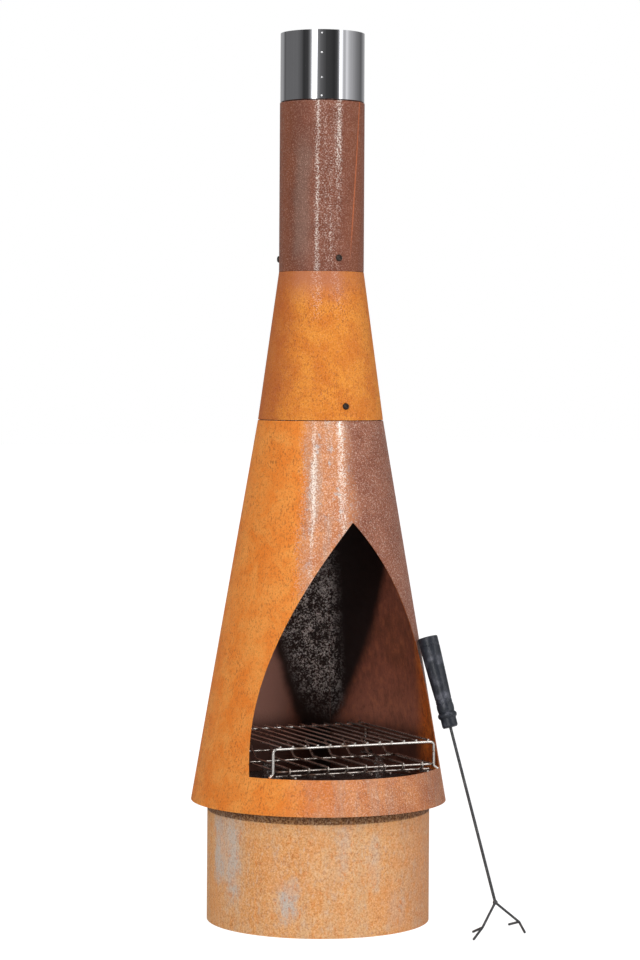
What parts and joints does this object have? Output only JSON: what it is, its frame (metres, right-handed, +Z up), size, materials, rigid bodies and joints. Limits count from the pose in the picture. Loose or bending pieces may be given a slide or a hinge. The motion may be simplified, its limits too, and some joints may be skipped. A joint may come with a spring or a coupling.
{
  "type": "chiminea",
  "caption": "Tall free-standing steel chiminea with a pointed arched mouth, straight flue, stainless top, cooking grill, fire grate and a leaning poker.",
  "frame": {"origin": "on the stove's axis at floor level, at the centre of the base ring's lower edge", "axes": "+Z up the chimney; the mouth faces -Y; the poker leans on the +X side"},
  "size_m": [0.4537, 0.4636, 1.4],
  "materials": {
    "rust_orange": "orange rusted weathering steel, matt with glossy runs",
    "rust_pale": "pale orange rust with grey bare-metal runs",
    "rust_brown": "dark mauve-brown rusted steel",
    "rust_soot": "dark brown rust with soot",
    "stainless": "bright rolled stainless sheet",
    "plated_wire": "bright plated wire, slightly smoked",
    "black_steel": "black oxide",
    "mill_steel": "plain mill finish",
    "poker_steel": "dark grey painted rod",
    "black_handle": "turned, satin black"
  },
  "bodies": {
    "stove": {"base_ring": "rust_pale", "base_tabs": "mill_steel", "fire_floor": "rust_soot", "floor_screws": "black_steel", "floor_nuts": "mill_steel", "fire_chamber": "rust_orange", "rest_lugs": "rust_soot", "grate_posts": "rust_soot", "cone_collar": "rust_soot", "upper_cone": "rust_orange", "cone_screws": "black_steel", "cone_nuts": "mill_steel", "pipe_collar": "rust_soot", "flue_pipe": "rust_brown", "pipe_screws": "black_steel", "pipe_nuts": "mill_steel", "chimney_sleeve": "stainless"},
    "grill": {"grill_front_frame": "plated_wire", "grill_rear_frame": "plated_wire", "grill_rods": "plated_wire"},
    "grate": {"grate_frame": "plated_wire", "grate_low_rail": "plated_wire", "grate_rear_rail": "plated_wire", "grate_rods": "plated_wire", "grate_toes": "plated_wire"},
    "poker": {"poker_handle": "black_handle", "poker_ferrule": "black_handle", "poker_rod": "poker_steel", "poker_fork_left": "poker_steel", "poker_fork_right": "poker_steel"}
  },
  "joints": [
    {"name": "grill_slide", "type": "slide", "parent": "stove", "child": "grill", "axis": [0, -1, 0], "range_m": [0, 0.3]},
    {"name": "grate_slide", "type": "slide", "parent": "stove", "child": "grate", "axis": [0, -1, 0], "range_m": [0, 0.2]},
    {"name": "poker_lift", "type": "slide", "parent": "stove", "child": "poker", "axis": [0, 0, 1], "range_m": [0, 0.5]}
  ]
}
